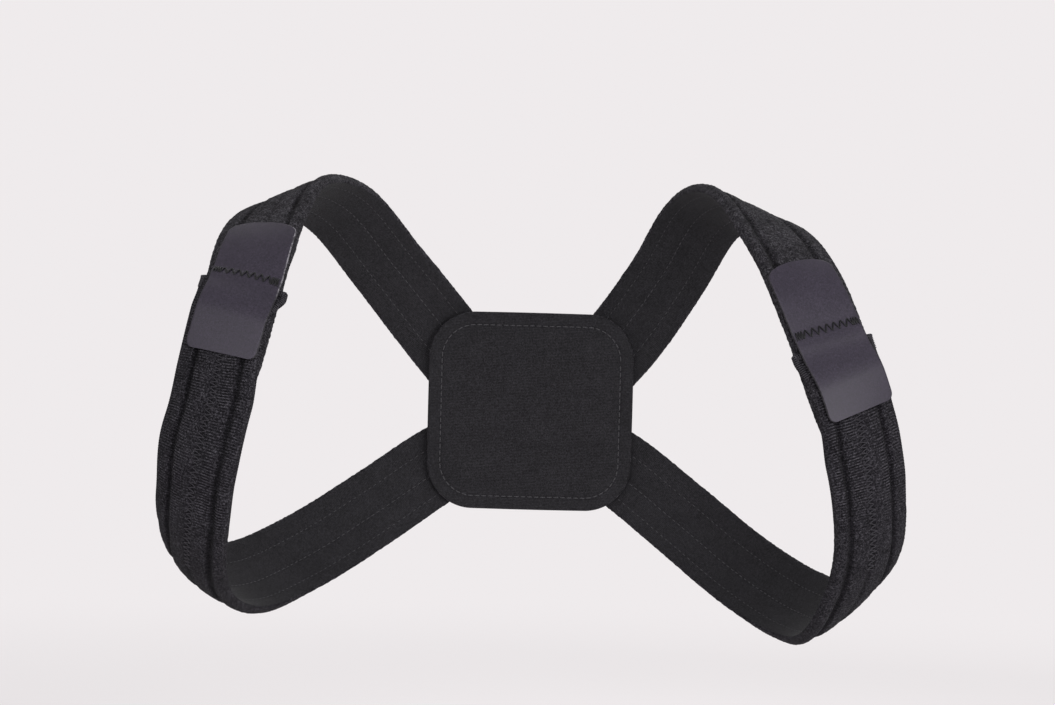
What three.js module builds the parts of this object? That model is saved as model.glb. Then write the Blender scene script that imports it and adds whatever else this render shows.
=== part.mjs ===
// A figure-of-eight clavicle brace. On each shoulder a padded strap comes over from the back and tucks in
// under a second strap that comes round from under the arm, and a hook tab holds the two together. A pad
// between the shoulder blades joins the four strap ends. Millimetres, +Z up. The wearer faces -Y, so the
// wearer's right is -X, and the origin lies midway between the tops of the shoulders, where the straps rest.

import * as THREE from 'three';

// Driving dimensions
const gap = 0.3; // between pieces that lie on each other
const underarmWidth = 44;
const shoulderWidth = 45;
const strapThickness = 6; // at the crest of a rib
const strapEdge = 0.4; // share of the thickness that is left at the strap's two edges
const edgeRound = 4; // width of the rounding along each edge
const pressedShare = 0.78; // of the thickness, where one strap lies under the other
const sewnEndShare = 0.2; // of the thickness, at the underarm strap's sewn end
const sectionStep = 8; // distance between the sections of a strap
const leastStep = 1; // no section lies closer than this to a strap's end

const tabWidths = [39, 40, 42]; // at its top, seam and bottom, measured over its own bowed face
const tabThickness = 1.2;
const tabTopCorner = [7.5, 17]; // length and width of each rounded corner at its top
const tabBottomCorner = [4, 4];
const tabEdgeLift = 1.2; // the stiff tab stands off the bowed strap by this at its edges
const tabClimb = 5; // it starts to rise onto the underarm strap this far above its seam
const tabClimbed = 1.5; // and has risen this far past the strap's sewn end
const tabStep = 3.5; // distance between the sections of a tab
const slantFade = 40; // the slant of the tab fades out of the straps over this length past its ends

const padWidth = 116;
const padHeight = 112;
const padThickness = 6.5;
const padRim = 2.5; // thickness at the pad's rim
const padBevel = 16; // width over which it thickens
const padCorner = 26; // corner radius
const padSkin = 79.6; // Y of the face that lies on the wearer's back
const padMiddle = -119; // Z of the pad's middle
const padSections = 16;

// Dents along a strap, measured across it towards the body's middle, as shares of its half width and of its
// thickness
const grooves = [
  { across: -0.48, depth: 0.34, spread: 0.06 },
  { across: 0.15, depth: 0.12, spread: 0.06 },
  { across: 0.66, depth: 0.34, spread: 0.06 },
];

// Where a strap's outer face and a tab are sampled from edge to edge, as shares of their half width
const outerStops = [
  ...[-1, -0.975, -0.9, -0.74, -0.54, -0.48, -0.42, -0.3, 0.02],
  ...[0.15, 0.28, 0.5, 0.6, 0.66, 0.72, 0.82, 0.91, 0.975, 1],
];
const tabStops = [-1, -0.6, -0.2, 0.2, 0.6, 1];

// The same from the middle outwards, for a strap's skin side and for the pad
const innerStops = [0, 0.5, 0.96];
const padStops = [0, 0.4, 0.72, 0.88, 1];

// Sections of a tab in its rounded ends, as shares of the corner's length in from the end
const tabTopRows = [0, 0.08, 0.28, 0.6];
const tabBottomRows = [0.6, 0.15, 0];

// The middle of the strap on its skin side, from the upper back over the shoulder, down the front and under
// the arm to the lower back, for the wearer's right and left. X counts outwards from the middle of the body.
// The face columns give the way the outer face looks, outwards, backwards and upwards, and bow is how far the
// two edges fall back behind the middle.
const routeColumns =
  ['rightX', 'rightY', 'rightZ', 'leftX', 'leftY', 'leftZ', 'faceOut', 'faceBack', 'faceUp', 'bow'];
const route = table(routeColumns, [
  [36, 86.6, -96, 36, 86.6, -96, 0, 1, 0, 0], // end on the back pad
  [56, 86.2, -72, 56, 86.2, -72, 0, 1, 0, 0],
  [82, 73, -40, 76, 73, -41, 0.12, 0.82, 0.5, 0], // shoulder blade
  [109, 43, -7, 94, 43, -7, 0.28, 0.5, 0.8, 0],
  [131, 2, 0, 111, 0, 0, 0.42, 0.05, 0.9, 0.5], // top of the shoulder
  [145, -39, -16, 131, -45, -18, 0.3, -0.6, 0.74, 1.5],
  [152, -77, -51, 149, -79, -56, 0.24, -0.85, 0.46, 3],
  [163, -92, -102, 165, -92, -102, 0.45, -0.88, 0.13, 4], // front of the shoulder
  [173.5, -92, -143, 177.5, -92, -148, 0.5, -0.86, -0.02, 4.5],
  [178, -78, -176, 178.5, -78, -184, 0.58, -0.75, -0.22, 5],
  [177, -44, -200, 166, -44, -213, 0.72, -0.26, -0.64, 5], // under the arm
  [155, 2, -209, 151, 2, -217, 0.7, 0.3, -0.65, 4],
  [124, 46, -198, 122, 46, -203, 0.48, 0.74, -0.46, 2],
  [88, 74, -176, 88, 74, -178, 0.22, 0.95, -0.2, 1],
  [56, 86.2, -154, 56, 86.2, -154, 0, 1, 0, 0],
  [36, 86.6, -142, 36, 86.6, -142, 0, 1, 0, 0], // end on the back pad
]);

// Distances along the route: the tab's seam, and the end of the shoulder strap tucked in below it. The tab
// reaches above and below its seam, and the underarm strap ends at endBelow under it. At the top, the seam
// and the bottom of the tab, slants tell how far a line across it runs down the route for each millimetre
// towards the body's middle, and shifts how far the tab lies from the strap's middle, that way. Inner and
// outer tell how far a strap's edge stands out from its even width, the edge towards the body's middle and
// the other one: pairs of a distance below the seam and that offset, which start with the sewn end's corners
// on the underarm strap.
const sides = [
  {
    name: 'right',
    sign: -1,
    seamAt: 266,
    tuckAt: 344,
    above: 38.7,
    below: 42.5,
    endBelow: 1.2,
    slants: [0.12, 0.215, 0.03],
    shifts: [5.3, 2.5, 2.5],
    shoulderInner: [[-110, 0], [-60, 0.8], [-28, 0.7], [-8, -1.2], [22, -1.5]],
    underarmInner: [
      ...[[4.7, 2.4], [14, -1.2], [42, -1.4], [66, 0.8]],
      ...[[100, 2], [135, 2.6], [172, 4.5], [270, 0]],
    ],
    underarmOuter: [[4.7, 1], [17, -0.5], [50, -0.4], [76, -1.6], [96, -0.8], [130, -0.5], [180, 0]],
  },
  {
    name: 'left',
    sign: 1,
    seamAt: 283,
    tuckAt: 338,
    above: 42.3,
    below: 44,
    endBelow: 6.7,
    slants: [0.12, 0.06, 0.11],
    shifts: [3, 0.6, -0.3],
    shoulderInner: [[-110, 0], [-75, -0.4], [-40, -1.7], [0, -1.9], [15, -1.5], [40, -0.2]],
    underarmInner: [[10, 0.5], [22, -1.9], [42, -1.9], [66, 0.4], [110, 0.6], [150, 1.5], [190, 0]],
    underarmOuter: [[10, 1.2], [22, -0.5], [50, -1.6], [68, -2.3], [84, -1.6], [105, -0.6], [130, 0]],
  },
];
const sewnEndLength = 22; // the underarm strap thins over this length to its sewn end
const pressLength = 30; // the shoulder strap flattens over this length before the seam
const tuckTaper = 6; // and is this much narrower at its tucked end
const tuckTaperLength = 40; // after it has narrowed over this length
const settleStart = 2; // past the tucked end the underarm strap starts to settle onto the skin
const settleEnd = 44; // and lies on it from here
const routeDivisions = 1200; // of a route, when its length is measured
const leastBow = 0.01; // a flat strap counts as bowed this little

const finishes = {
  cloth: { color: 0x232226, roughness: 0.95, metalness: 0 },
  tab: { color: 0x3f3b44, roughness: 0.5, metalness: 0 },
};

function table(columns, rows) {
  return rows.map((row) => Object.fromEntries(columns.map((column, i) => [column, row[i]])));
}

// 0 before start, 1 after end, and smooth between
function ramp(value, start, end) {
  return THREE.MathUtils.smoothstep(value, start, end);
}

function spread(from, to, step) {
  const count = Math.ceil((to - from) / step);
  return Array.from({ length: count + 1 }, (_, i) => from + ((to - from) * i) / count);
}

// One of a side's three values beside the tab, at a distance below its seam
function besideTab(side, [top, seam, bottom], below) {
  const [end, length] = below < 0 ? [top, side.above] : [bottom, side.below];
  return THREE.MathUtils.lerp(seam, end, ramp(Math.abs(below), 0, length));
}

// A value that goes smoothly from each pair's offset to the next one's, at a distance below the tab's seam
function offsetAt(pairs, below) {
  return pairs.slice(1).reduce((offset, [distance, value], i) => {
    const [before, from] = pairs[i];
    return offset + (value - from) * ramp(below, before, distance);
  }, pairs[0][1]);
}

// Sections on one common grid along the route, so that straps that lie on each other share their sections
function sectionsBetween(from, to) {
  const first = Math.ceil((from + leastStep) / sectionStep) * sectionStep;
  const inner = [];
  for (let at = first; at < to - leastStep; at += sectionStep) {
    inner.push(at);
  }
  return [from, ...inner, to];
}

// Follows one side's route. place gives the point at a distance along it, across it towards the body's
// middle, and outwards from the skin. The section is bent to the circle whose arc over the strap's width has
// the bow, and across is measured round that circle at a level above the skin.
function makeRoute(side) {
  const last = route.length - 1;
  const [x, y, z] = ['X', 'Y', 'Z'].map((axis) => side.name + axis);
  const middle = new THREE.CatmullRomCurve3(
    route.map((row) => new THREE.Vector3(side.sign * row[x], row[y], row[z])),
  );
  middle.arcLengthDivisions = routeDivisions;
  const facing = new THREE.CatmullRomCurve3(
    route.map((row) => new THREE.Vector3(side.sign * row.faceOut, row.faceBack, row.faceUp)),
    false,
    'catmullrom',
  );
  const length = middle.getLength();

  function bowAt(t) {
    const row = Math.min(Math.floor(t * last), last - 1);
    return THREE.MathUtils.lerp(route[row].bow, route[row + 1].bow, t * last - row);
  }

  function slantAt(along) {
    const below = along - side.seamAt;
    const past = Math.max(below - side.below, -below - side.above);
    return besideTab(side, side.slants, below) * (1 - ramp(past, 0, slantFade));
  }

  function place(along, across, height, level = 0) {
    const t = middle.getUtoTmapping((along + across * slantAt(along)) / length);
    const tangent = middle.getTangent(t);
    const outward = facing.getPoint(t).projectOnPlane(tangent).normalize();
    const sideways = new THREE.Vector3().crossVectors(tangent, outward).multiplyScalar(side.sign);
    const radius = underarmWidth ** 2 / (8 * Math.max(bowAt(t), leastBow));
    const turn = across / (radius + level);
    return middle
      .getPoint(t)
      .addScaledVector(sideways, (radius + height) * Math.sin(turn))
      .addScaledVector(outward, (radius + height) * Math.cos(turn) - radius);
  }
  return { length, place };
}

// Thickness across a strap as a share of its full thickness: ribs between the grooves, and rounded edges
function ribShare(across, halfWidth) {
  const dentOf = ({ across: middle, depth, spread: reach }) =>
    depth * Math.exp(-(((across / halfWidth - middle) / reach) ** 2));
  const dent = grooves.reduce((sum, groove) => sum + dentOf(groove), 0);
  const intoEdge = Math.max(Math.abs(across) - halfWidth + edgeRound, 0) / edgeRound;
  return strapEdge + (1 - strapEdge) * (1 - dent) * Math.sqrt(Math.max(1 - intoEdge ** 2, 0));
}

function mirrored(stops) {
  return [...stops.slice(1).reverse().map((stop) => -stop), ...stops];
}

// A closed solid through rings of equally many points, with a fan of triangles on each end
function loft(rings) {
  const around = rings[0].length;
  const points = rings.flat();
  const faces = [];
  for (let i = 0; i < rings.length - 1; i += 1) {
    for (let j = 0; j < around; j += 1) {
      const a = i * around + j;
      const b = i * around + ((j + 1) % around);
      faces.push(a, b, a + around, b, b + around, a + around);
    }
  }
  const lastRing = (rings.length - 1) * around;
  [rings[0], rings.at(-1)].forEach((ring, end) => {
    const hub = points.length;
    points.push(ring.reduce((sum, point) => sum.add(point), new THREE.Vector3()).divideScalar(around));
    for (let j = 0; j < around; j += 1) {
      const next = (j + 1) % around;
      faces.push(...(end ? [hub, lastRing + j, lastRing + next] : [hub, next, j]));
    }
  });
  return { points, faces };
}

// The same solid as a geometry, with its faces turned outwards
function geometryOf({ points, faces }) {
  let volume = 0;
  for (let i = 0; i < faces.length; i += 3) {
    const [a, b, c] = [faces[i], faces[i + 1], faces[i + 2]].map((index) => points[index]);
    volume += a.dot(new THREE.Vector3().crossVectors(b, c));
  }
  const geometry = new THREE.BufferGeometry().setFromPoints(points);
  geometry.setIndex(volume > 0 ? faces : faces.toReversed());
  geometry.computeVertexNormals();
  return geometry;
}

function strapGeometry(path, from, to, widthAt, shiftAt, liftAt, thicknessAt) {
  const rings = sectionsBetween(from, to).map((along) => {
    const half = widthAt(along) / 2;
    const shift = shiftAt(along);
    const lift = liftAt(along);
    const outer = (stop) => lift + thicknessAt(along) * ribShare(stop * half, half);
    return [
      ...outerStops.map((stop) => path.place(along, stop * half + shift, outer(stop))),
      ...mirrored(innerStops).map((stop) => path.place(along, -stop * half + shift, lift)),
    ];
  });
  return geometryOf(loft(rings));
}

// Half the tab's width at a distance from its top: full, but for the rounded corners
function tabHalfWidth(side, fromTop) {
  const full = besideTab(side, tabWidths, fromTop - side.above) / 2;
  const corner = (distance, [length, width]) =>
    width * (1 - Math.sqrt(1 - THREE.MathUtils.clamp(1 - distance / length, 0, 1) ** 2));
  const fromBottom = side.above + side.below - fromTop;
  return full - corner(fromTop, tabTopCorner) - corner(fromBottom, tabBottomCorner);
}

function tabGeometry(path, side, restAt) {
  const top = side.seamAt - side.above;
  const bottom = side.seamAt + side.below;
  const [topLength] = tabTopCorner;
  const [bottomLength] = tabBottomCorner;
  const middleRows = spread(top + topLength, bottom - bottomLength, tabStep);
  const topRows = tabTopRows.map((share) => top + share * topLength);
  const bottomRows = tabBottomRows.map((share) => bottom - share * bottomLength);
  const rings = [...topRows, ...middleRows, ...bottomRows].map((along) => {
    const half = tabHalfWidth(side, along - top);
    const shift = besideTab(side, side.shifts, along - side.seamAt);
    const point = (stop, above) => {
      const across = stop * half;
      const height = restAt(along) + tabEdgeLift * (across / (tabWidths[1] / 2)) ** 2 + above;
      return path.place(along, across + shift, height, height);
    };
    return [
      ...tabStops.map((stop) => point(stop, tabThickness)),
      ...tabStops.map((stop) => point(-stop, 0)),
    ];
  });
  return geometryOf(loft(rings));
}

// The pad is flat on the skin side, and thickens from its rim to its middle on the other
function padGeometry() {
  const halfHeight = padHeight / 2;
  const stops = mirrored(padStops);
  const rings = Array.from({ length: padSections + 1 }, (_, i) => {
    const up = -halfHeight * Math.cos((Math.PI * i) / padSections);
    const fromEnd = halfHeight - Math.abs(up);
    const short = Math.max(padCorner - fromEnd, 0);
    const half = padWidth / 2 - padCorner + Math.sqrt(padCorner ** 2 - short ** 2);
    const thick = (across) => {
      const fromRim = Math.min(half - Math.abs(across), fromEnd);
      return padRim + (padThickness - padRim) * ramp(fromRim, 0, padBevel);
    };
    const point = (across, above) => new THREE.Vector3(across, padSkin + above, padMiddle + up);
    return [
      ...stops.map((stop) => point(stop * half, thick(stop * half))),
      ...stops.map((stop) => point(-stop * half, 0)),
    ];
  });
  return geometryOf(loft(rings));
}

function piece(name, geometry, finish) {
  const mesh = new THREE.Mesh(geometry, new THREE.MeshStandardMaterial(finish));
  mesh.name = name;
  return mesh;
}

// The three pieces over one shoulder, each lying on the one below it
function shoulderSide(side) {
  const path = makeRoute(side);
  const { seamAt, tuckAt } = side;
  const sewnEnd = seamAt + side.endBelow;
  const pressed = strapThickness * pressedShare;

  const none = () => 0;
  const edgeOf = (pairs) => (along) => offsetAt(pairs, along - seamAt);
  const shoulderInner = edgeOf(side.shoulderInner);
  const underarmInner = edgeOf(side.underarmInner);
  const underarmOuter = edgeOf(side.underarmOuter);
  const shoulderShift = (along) => shoulderInner(along) / 2;
  const shoulderWidthAt = (along) =>
    shoulderWidth + shoulderInner(along) - tuckTaper * ramp(along, tuckAt - tuckTaperLength, tuckAt);
  const shoulderThickness = (along) =>
    THREE.MathUtils.lerp(strapThickness, pressed, ramp(along, seamAt - pressLength, seamAt));
  const underarmWidthAt = (along) => underarmWidth + underarmInner(along) + underarmOuter(along);
  const underarmShift = (along) => (underarmInner(along) - underarmOuter(along)) / 2;
  const underarmLift = (along) =>
    (pressed + gap) * (1 - ramp(along, tuckAt + settleStart, tuckAt + settleEnd));
  const underarmThickness = (along) =>
    strapThickness * THREE.MathUtils.lerp(sewnEndShare, 1, ramp(along, sewnEnd, sewnEnd + sewnEndLength));
  const tabRest = (along) => {
    const onShoulder = shoulderThickness(along) + gap;
    const onUnderarm = underarmLift(along) + underarmThickness(along) + gap;
    const risen = ramp(along, seamAt - tabClimb, sewnEnd + tabClimbed);
    return THREE.MathUtils.lerp(onShoulder, onUnderarm, risen);
  };

  const shoulder =
    strapGeometry(path, 0, tuckAt, shoulderWidthAt, shoulderShift, none, shoulderThickness);
  const underarm = strapGeometry(
    path,
    sewnEnd,
    path.length,
    underarmWidthAt,
    underarmShift,
    underarmLift,
    underarmThickness,
  );
  const tab = tabGeometry(path, side, tabRest);
  const group = new THREE.Group();
  group.add(
    piece(`${side.name}_shoulder_strap`, shoulder, finishes.cloth),
    piece(`${side.name}_underarm_strap`, underarm, finishes.cloth),
    piece(`${side.name}_hook_tab`, tab, finishes.tab),
  );
  return group;
}

const brace = new THREE.Group();
sides.forEach((side) => brace.add(shoulderSide(side)));
brace.add(piece('back_pad', padGeometry(), finishes.cloth));

export default brace;
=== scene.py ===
import math
from functools import partial

import bpy
import numpy as np
from mathutils import Matrix, Vector


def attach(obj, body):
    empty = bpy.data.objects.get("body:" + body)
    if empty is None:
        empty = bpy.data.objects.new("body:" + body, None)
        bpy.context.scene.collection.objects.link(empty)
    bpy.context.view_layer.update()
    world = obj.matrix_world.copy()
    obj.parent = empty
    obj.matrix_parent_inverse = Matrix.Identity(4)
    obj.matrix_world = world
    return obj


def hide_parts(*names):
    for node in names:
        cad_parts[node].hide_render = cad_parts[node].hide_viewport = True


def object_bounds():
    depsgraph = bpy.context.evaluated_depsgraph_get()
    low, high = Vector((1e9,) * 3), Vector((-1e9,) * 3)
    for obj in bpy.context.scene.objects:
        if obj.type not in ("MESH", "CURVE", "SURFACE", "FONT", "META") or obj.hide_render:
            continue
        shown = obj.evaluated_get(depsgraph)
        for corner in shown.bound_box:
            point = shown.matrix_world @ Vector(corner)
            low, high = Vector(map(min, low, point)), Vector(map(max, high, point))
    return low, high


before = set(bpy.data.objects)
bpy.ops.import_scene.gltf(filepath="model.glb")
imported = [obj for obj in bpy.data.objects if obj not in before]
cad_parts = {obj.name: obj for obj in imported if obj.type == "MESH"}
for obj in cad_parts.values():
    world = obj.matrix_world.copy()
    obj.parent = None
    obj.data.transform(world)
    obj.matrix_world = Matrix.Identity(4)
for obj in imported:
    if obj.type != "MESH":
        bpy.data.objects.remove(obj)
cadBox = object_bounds()
mm = 0.001  # lengths below are in millimetres, and meshes are in metres
print("frame loaded:", len(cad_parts), "nodes")

cameraView = {
    "target": (-2.4, -52, -78),
    "distance": 1500,
    "elevation": 3.0,
    "roll": 1.5,  # degrees, the left side hangs lower in the picture
    "focalPixels": 2830,
    "imageWidth": 1055,
    "sensorWidth": 36,
}


# Looks along +Y from the distance, raised by the elevation and turned about its line of sight by the roll.
# The lens gives the focal length in pixels over the width of the image.
def addCamera(view):
    lift, roll = math.radians(view["elevation"]), math.radians(view["roll"])
    back = Vector((0, -math.cos(lift), math.sin(lift)))
    level = Vector((1, 0, 0))
    upright = level.cross(-back)
    right = level * math.cos(roll) + upright * math.sin(roll)
    up = upright * math.cos(roll) - level * math.sin(roll)
    data = bpy.data.cameras.new("photoCamera")
    data.sensor_width = view["sensorWidth"]
    data.lens = view["sensorWidth"] * view["focalPixels"] / view["imageWidth"]
    data.clip_start, data.clip_end = 0.05, 80
    camera = bpy.data.objects.new("photoCamera", data)
    place = (Vector(view["target"]) + back * view["distance"]) * mm
    camera.matrix_world = Matrix.Translation(place) @ Matrix((right, up, back)).transposed().to_4x4()
    bpy.context.scene.collection.objects.link(camera)
    bpy.context.scene.camera = camera


addCamera(cameraView)
print("camera set")

# The strap's middle on its skin side, from the back pad over the top of the loop, down the front and round
# the lowest turn to the pad again: out, back and up on the right side, the same on the left, the way the
# outer face looks, and how far the two edges fall back behind the middle
strapRoute = np.array([
    [36, 86.6, -96, 36, 86.6, -96, 0, 1, 0, 0],  # end on the back pad
    [56, 86.2, -72, 56, 86.2, -72, 0, 1, 0, 0],
    [82, 73, -40, 76, 73, -41, 0.12, 0.82, 0.5, 0],
    [109, 43, -7, 94, 43, -7, 0.28, 0.5, 0.8, 0],
    [131, 2, 0, 111, 0, 0, 0.42, 0.05, 0.9, 0.5],  # top of the loop
    [145, -39, -16, 131, -45, -18, 0.3, -0.6, 0.74, 1.5],
    [152, -77, -51, 149, -79, -56, 0.24, -0.85, 0.46, 3],
    [163, -92, -102, 165, -92, -102, 0.45, -0.88, 0.13, 4],  # front of the loop
    [173.5, -92, -143, 177.5, -92, -148, 0.5, -0.86, -0.02, 4.5],
    [178, -78, -176, 178.5, -78, -184, 0.58, -0.75, -0.22, 5],
    [177, -44, -200, 166, -44, -213, 0.72, -0.26, -0.64, 5],
    [155, 2, -209, 151, 2, -217, 0.7, 0.3, -0.65, 4],  # lowest turn
    [124, 46, -198, 122, 46, -203, 0.48, 0.74, -0.46, 2],
    [88, 74, -176, 88, 74, -178, 0.22, 0.95, -0.2, 1],
    [56, 86.2, -154, 56, 86.2, -154, 0, 1, 0, 0],
    [36, 86.6, -142, 36, 86.6, -142, 0, 1, 0, 0],  # end on the back pad
])
# Along the route lie the tab's seam, the tucked end of the shoulder strap and the ends of ribs and stitches.
# The tab reaches above and below its seam, and below it lie the underarm strap's end and the end of the
# painted highlight on the tab's edge. Slants and shifts are for the tab's top, seam and bottom: how far a
# line across it runs down for each millimetre towards the brace's middle, and how far it lies off the strap's
# middle
# that way. Inner and outer are pairs: a distance below the seam, and how far that edge stands out from its
# even width there.
sides = [
    {"name": "right", "sign": -1, "columns": slice(0, 3), "seamAt": 266, "tuckAt": 344,
     "above": 38.7, "below": 42.5, "endBelow": 1.2, "slants": (0.12, 0.215, 0.03), "shifts": (5.3, 2.5, 2.5),
     "shoulderInner": [(-110, 0), (-60, 0.8), (-28, 0.7), (-8, -1.2), (22, -1.5)],
     "underarmInner": [(4.7, 2.4), (14, -1.2), (42, -1.4), (66, 0.8), (100, 2), (135, 2.6), (172, 4.5),
                       (270, 0)],
     "underarmOuter": [(4.7, 1), (17, -0.5), (50, -0.4), (76, -1.6), (96, -0.8), (130, -0.5), (180, 0)],
     "paleTo": 9, "ribsEnd": 416, "stitchEnd": 427, "flat": (41, 84)},
    {"name": "left", "sign": 1, "columns": slice(3, 6), "seamAt": 283, "tuckAt": 338,
     "above": 42.3, "below": 44, "endBelow": 6.7, "slants": (0.12, 0.06, 0.11), "shifts": (3, 0.6, -0.3),
     "shoulderInner": [(-110, 0), (-75, -0.4), (-40, -1.7), (0, -1.9), (15, -1.5), (40, -0.2)],
     "underarmInner": [(10, 0.5), (22, -1.9), (42, -1.9), (66, 0.4), (110, 0.6), (150, 1.5), (190, 0)],
     "underarmOuter": [(10, 1.2), (22, -0.5), (50, -1.6), (68, -2.3), (84, -1.6), (105, -0.6), (130, 0)],
     "paleTo": -60, "ribsEnd": 398, "stitchEnd": 410, "flat": (41, 88)},
]
strapBuild = {
    "gap": 0.3,  # between pieces that lie on each other
    "underarmWidth": 44,
    "shoulderWidth": 45,
    "thickness": 6,
    "edgeShare": 0.4,  # of the thickness, left at the two edges
    "edgeRound": 2.8,
    "hem": 0.957,  # share of the half width where the folded edge makes a fine bead
    "hemHeight": 0.1,
    "hemSpread": 0.018,
    "hemDent": 0.1,
    "hemLine": 0.9174,  # where the line beside it is dented
    "pressedShare": 0.78,  # of the thickness, where one strap lies under the other
    "sewnEndShare": 0.2,  # of the thickness, at the underarm strap's sewn end
    "sewnEndLength": 22,
    "pressLength": 30,
    "tuckTaper": 6,  # the shoulder strap is this much narrower at its tucked end
    "tuckTaperLength": 40,
    "settleStart": 2,
    "settleEnd": 44,
    "endRound": 1.6,  # length over which a strap's end is rounded off
    "endCorner": 0.9,  # radius of its corners
    "seams": (-0.48, 0.15, 0.66),  # sewn through at these shares of the half width: two channels and a zigzag
    "seamDepths": (0.5, 0.16, 0.5),
    "seamSpreads": (0.07, 0.055, 0.07),
    "panelDroop": 0.1,  # each padded panel falls off by this towards its seams
    "skinDent": 0.5,  # the same seams on the skin side
    "skinDentSpread": 0.06,
    "endThin": 0.35,  # share of the thickness that is left at a strap's end
    "leastBow": 0.01,
    "pathStops": 6000,
}
tabBuild = {
    "widths": (39, 40, 42),  # at its top, seam and bottom
    "thickness": 1.2,
    "topCorner": (7.5, 17),  # length and width of each rounded corner at its top
    "bottomCorner": (4, 4),
    "edgeLift": 1.2,  # the stiff tab stands off the bowed strap by this at its edges
    "climb": 5,  # it starts to rise onto the underarm strap this far above the seam
    "climbed": 1.5,  # and has risen this far past the strap's sewn end
    "slantFade": 40,  # its slant fades out of the straps over this length past its ends
    "edgeRound": 0.35,
    "paleFade": 5,
    "step": 1.0,
    "stops": 33,  # across
    "cornerStops": 15,
    "wall": (0.8, 0.5, 0.2),  # shares of the thickness
}


def ramp(value, start, end):  # 0 before start, 1 after end, and 3x^2 - 2x^3 between
    x = np.clip((value - start) / (end - start), 0, 1)
    return x * x * (3 - 2 * x)


def bell(value, middle, spread):  # 1 at the middle, falling off as e^-x^2
    return np.exp(-(((value - middle) / spread) ** 2))


# How far a corner, a quarter of an ellipse, stays back from a straight edge, this far from its end
def corner(distance, length, width):
    return width * (1 - np.sqrt(1 - np.clip(1 - distance / length, 0, 1) ** 2))


def quarterTurn(count):  # from 0 to 1 as 1 - cos over a quarter turn
    return 1 - np.cos(np.linspace(0, np.pi / 2, count))


def unit(vectors):
    return vectors / np.linalg.norm(vectors, axis=-1, keepdims=True)


def spreadAlong(start, end, step):
    return np.linspace(start, end, max(int(math.ceil((end - start) / step)), 2) + 1)


def runOf(line):  # how far along a line each of its points lies
    return np.concatenate([[0], np.linalg.norm(np.diff(line, axis=0), axis=1).cumsum()])


def lookUp(distance, run, table):  # a table's columns at distances along its run
    return np.stack([np.interp(distance, run, column) for column in table.T], -1)


# From the seam's value to the top's or the bottom's, at a distance below the tab's seam
def besideTab(side, values, below):
    top, seam, bottom = values
    up, down = ramp(-below, 0, side["above"]), ramp(below, 0, side["below"])
    return seam + (top - seam) * up + (bottom - seam) * down


# From each pair's offset smoothly to the next one's, at a distance below the tab's seam
def offsetAt(pairs, below):
    steps = [(end - start) * ramp(below, near, far) for (near, start), (far, end) in zip(pairs, pairs[1:])]
    return pairs[0][1] + sum(steps)


# A cubic between each two rows, whose slopes at its ends come from the rows around it, weighted by the
# square roots of their distances or, if even, all alike. t counts rows.
def splineThrough(rows, t, even):
    ends = np.vstack([2 * rows[0] - rows[1], rows, 2 * rows[-1] - rows[-2]])
    segment = np.minimum(t.astype(int), len(rows) - 2)
    p0, p1, p2, p3 = (ends[segment + k] for k in range(4))

    def span(a, b):
        return 1.0 if even else np.sqrt(np.linalg.norm(b - a, axis=1, keepdims=True))

    d0, d1, d2 = span(p0, p1), span(p1, p2), span(p2, p3)
    slope1 = d1 * ((p1 - p0) / d0 - (p2 - p0) / (d0 + d1) + (p2 - p1) / d1)
    slope2 = d1 * ((p2 - p1) / d1 - (p3 - p1) / (d1 + d2) + (p3 - p2) / d2)
    w = (t - segment)[:, None]
    start = (2 * w**3 - 3 * w**2 + 1) * p1 + (w**3 - 2 * w**2 + w) * slope1
    return start + (3 * w**2 - 2 * w**3) * p2 + (w**3 - w**2) * slope2


# One side's route as arrays along its length: where its middle is, and which ways lie outward and sideways,
# towards the brace's middle
def strapPath(side):
    mirror = np.array([side["sign"], 1, 1])
    t = np.linspace(0, len(strapRoute) - 1, strapBuild["pathStops"])
    middle = splineThrough(strapRoute[:, side["columns"]] * mirror, t, even=False)
    facing = splineThrough(strapRoute[:, 6:9] * mirror, t, even=True)
    tangent = unit(np.gradient(middle, axis=0))
    outward = unit(facing - np.sum(facing * tangent, axis=1, keepdims=True) * tangent)
    return {
        "side": side,
        "along": runOf(middle),
        "middle": middle,
        "outward": outward,
        "sideways": np.cross(tangent, outward) * side["sign"],
        "bow": np.interp(t, np.arange(len(strapRoute)), strapRoute[:, 9]),
    }


# The points at along, across and height over a path, in metres. A section is bent to the circle whose arc
# over the strap's width has the bow, and across is measured round it at a level above the skin. Beside the
# tab, lines across the strap are slanted.
def placeOn(path, along, across, height, level=0):
    along, across, height, level = np.broadcast_arrays(along, across, height, level)
    side = path["side"]
    b = strapBuild
    below = along - side["seamAt"]
    past = np.maximum(below - side["below"], -below - side["above"])
    slant = besideTab(side, side["slants"], below) * (1 - ramp(past, 0, tabBuild["slantFade"]))
    along = along + across * slant
    tables = [path[key] for key in ("middle", "sideways", "outward")]
    middle, sideways, outward = (lookUp(along, path["along"], table) for table in tables)
    bow = np.interp(along, path["along"], path["bow"])
    radius = b["underarmWidth"] ** 2 / (8 * np.maximum(bow, b["leastBow"]))
    turn = across / (radius + level)
    aside = ((radius + height) * np.sin(turn))[..., None]
    out = ((radius + height) * np.cos(turn) - radius)[..., None]
    return (middle + sideways * aside + outward * out) * mm


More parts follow.
